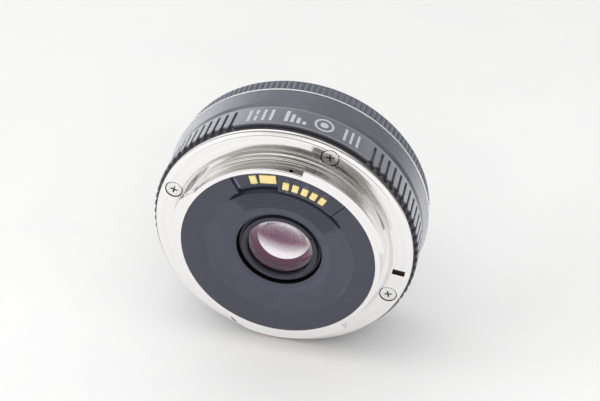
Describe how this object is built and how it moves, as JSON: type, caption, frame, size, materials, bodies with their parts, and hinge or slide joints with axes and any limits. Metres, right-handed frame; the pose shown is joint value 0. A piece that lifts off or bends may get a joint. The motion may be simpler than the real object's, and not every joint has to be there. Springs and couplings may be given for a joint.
{
  "type": "prime camera lens",
  "caption": "Slim autofocus prime lens with a bayonet mount, gold contact pads, knurled focus ring, extending lens unit and an iris of curved blades.",
  "frame": {"origin": "centre of the bayonet's flange seating plane, on the optical axis", "axes": "+Y along the optical axis towards the subject, +Z through the middle of the electrical contacts, +X through the bayonet's locking slot"},
  "size_m": [0.0682, 0.0281, 0.0682],
  "materials": {
    "bayonet_chrome": "satin chrome plate",
    "screw_steel": "bright steel",
    "dark_screw": "blackened steel",
    "rear_cover_black": "fine matt grain",
    "contact_black": "semi-gloss",
    "contact_gold": "gold plate",
    "barrel_black": "fine matt grain",
    "trim_bright": "bright line",
    "index_red": "glossy bead",
    "knob_black": "matt",
    "ring_black": "moulded knurl",
    "cam_alloy": "black anodised",
    "sleeve_black": "glass-filled moulding",
    "gear_white": "acetal",
    "pinion_brass": "machined",
    "motor_steel": "drawn can",
    "bracket_steel": "pressed sheet",
    "chassis_alloy": "die-cast",
    "board_green": "solder mask",
    "component_black": "epoxy",
    "flex_amber": "polyimide film",
    "felt_black": "felt",
    "lens_barrel_black": "matt",
    "retainer_black": "black anodised",
    "coated_glass": "coated",
    "blade_black": "matt black steel"
  },
  "bodies": {
    "housing": {"mount_ring": "bayonet_chrome", "mount_screws": "screw_steel", "guide_sleeve_screws": "screw_steel", "small_screws": "screw_steel", "idler_pin": "screw_steel", "contact_block_screw": "dark_screw", "rear_baffle": "rear_cover_black", "contact_block": "contact_black", "contact_pins": "contact_gold", "outer_barrel": "barrel_black", "front_bezel": "barrel_black", "switch_plate": "barrel_black", "trim_ring": "trim_bright", "mount_index_dot": "index_red", "switch_body": "knob_black", "guide_sleeve": "sleeve_black", "focus_motor": "motor_steel", "motor_bracket": "bracket_steel", "chassis_plate": "chassis_alloy", "main_board": "board_green", "board_components": "component_black", "ring_sensor": "component_black", "home_sensor": "component_black", "motor_flex": "flex_amber", "contact_flex": "flex_amber", "felt_seal": "felt_black"},
    "focus_ring": {"focus_ring": "ring_black", "focus_comb": "ring_black"},
    "cam_ring": {"cam_ring": "cam_alloy"},
    "idler_gear": {"idler_gear": "gear_white"},
    "motor_pinion": {"motor_pinion": "pinion_brass"},
    "switch_knob": {"switch_knob": "knob_black"},
    "lens_unit": {"front_barrel": "lens_barrel_black", "name_ring": "lens_barrel_black", "cam_rollers": "pinion_brass", "roller_screws": "screw_steel", "cell_screws": "screw_steel", "front_cell": "lens_barrel_black", "front_retaining_ring": "retainer_black", "doublet_retaining_ring": "retainer_black", "rear_cell": "lens_barrel_black", "rear_retaining_ring": "retainer_black", "aperture_housing": "lens_barrel_black", "aperture_cover": "lens_barrel_black", "aperture_motor": "motor_steel", "front_element": "coated_glass", "second_element": "coated_glass", "third_element": "coated_glass", "fourth_element": "coated_glass", "fifth_element": "coated_glass", "rear_element": "coated_glass"},
    "aperture_ring": {"aperture_ring": "blade_black"},
    "aperture_pinion": {"aperture_pinion": "pinion_brass"},
    "blade_1": {"aperture_blade_1": "blade_black"},
    "blade_2": {"aperture_blade_2": "blade_black"},
    "blade_3": {"aperture_blade_3": "blade_black"},
    "blade_4": {"aperture_blade_4": "blade_black"},
    "blade_5": {"aperture_blade_5": "blade_black"},
    "blade_6": {"aperture_blade_6": "blade_black"},
    "blade_7": {"aperture_blade_7": "blade_black"}
  },
  "joints": [
    {"name": "focus_ring_turn", "type": "hinge", "parent": "housing", "child": "focus_ring", "pos_m": [0, 0.0188, 0], "axis": [0, -1, 0], "continuous": true},
    {"name": "cam_turn", "type": "hinge", "parent": "housing", "child": "cam_ring", "pos_m": [0, 0.0098, 0], "axis": [0, -1, 0], "range_deg": [0, 80]},
    {"name": "lens_unit_slide", "type": "slide", "parent": "housing", "child": "lens_unit", "axis": [0, 1, 0], "range_m": [0, 0.0072]},
    {"name": "idler_turn", "type": "hinge", "parent": "housing", "child": "idler_gear", "pos_m": [-0.0032, 0.0043, -0.02278], "axis": [0, -1, 0], "range_deg": [0, 816.1]},
    {"name": "motor_turn", "type": "hinge", "parent": "housing", "child": "motor_pinion", "pos_m": [-0.00659, 0.0043, -0.0191], "axis": [0, -1, 0], "range_deg": [-816.1, 0]},
    {"name": "focus_mode_switch", "type": "slide", "parent": "housing", "child": "switch_knob", "axis": [0.5299, 0, 0.848], "range_m": [0, 0.003]},
    {"name": "aperture_turn", "type": "hinge", "parent": "lens_unit", "child": "aperture_ring", "pos_m": [0, 0.00845, 0], "axis": [0, -1, 0], "range_deg": [0, 36]},
    {"name": "aperture_pinion_turn", "type": "hinge", "parent": "lens_unit", "child": "aperture_pinion", "pos_m": [-0.01106, 0.00845, 0.01318], "axis": [0, -1, 0], "range_deg": [-308.1, 0]},
    {"name": "blade_1_turn", "type": "hinge", "parent": "lens_unit", "child": "blade_1", "pos_m": [0.012, 0.0095, 0], "axis": [0, -1, 0], "range_deg": [0, 28.05]},
    {"name": "blade_2_turn", "type": "hinge", "parent": "lens_unit", "child": "blade_2", "pos_m": [0.00748, 0.0095, 0.00938], "axis": [0, -1, 0], "range_deg": [0, 28.05]},
    {"name": "blade_3_turn", "type": "hinge", "parent": "lens_unit", "child": "blade_3", "pos_m": [-0.00267, 0.0095, 0.0117], "axis": [0, -1, 0], "range_deg": [0, 28.05]},
    {"name": "blade_4_turn", "type": "hinge", "parent": "lens_unit", "child": "blade_4", "pos_m": [-0.01081, 0.0095, 0.00521], "axis": [0, -1, 0], "range_deg": [0, 28.05]},
    {"name": "blade_5_turn", "type": "hinge", "parent": "lens_unit", "child": "blade_5", "pos_m": [-0.01081, 0.0095, -0.00521], "axis": [0, -1, 0], "range_deg": [0, 28.05]},
    {"name": "blade_6_turn", "type": "hinge", "parent": "lens_unit", "child": "blade_6", "pos_m": [-0.00267, 0.0095, -0.0117], "axis": [0, -1, 0], "range_deg": [0, 28.05]},
    {"name": "blade_7_turn", "type": "hinge", "parent": "lens_unit", "child": "blade_7", "pos_m": [0.00748, 0.0095, -0.00938], "axis": [0, -1, 0], "range_deg": [0, 28.05]}
  ],
  "couplings": [
    {"joint": "lens_unit_slide", "follows": "cam_turn", "m_per_rad": 0.0051566},
    {"joint": "idler_turn", "follows": "cam_turn", "ratio": 10.2},
    {"joint": "motor_turn", "follows": "cam_turn", "ratio": -10.2},
    {"joint": "aperture_pinion_turn", "follows": "aperture_turn", "ratio": -8.5556},
    {"joint": "blade_1_turn", "follows": "aperture_turn", "ratio": 0.77778},
    {"joint": "blade_2_turn", "follows": "aperture_turn", "ratio": 0.77778},
    {"joint": "blade_3_turn", "follows": "aperture_turn", "ratio": 0.77778},
    {"joint": "blade_4_turn", "follows": "aperture_turn", "ratio": 0.77778},
    {"joint": "blade_5_turn", "follows": "aperture_turn", "ratio": 0.77778},
    {"joint": "blade_6_turn", "follows": "aperture_turn", "ratio": 0.77778},
    {"joint": "blade_7_turn", "follows": "aperture_turn", "ratio": 0.77778}
  ]
}
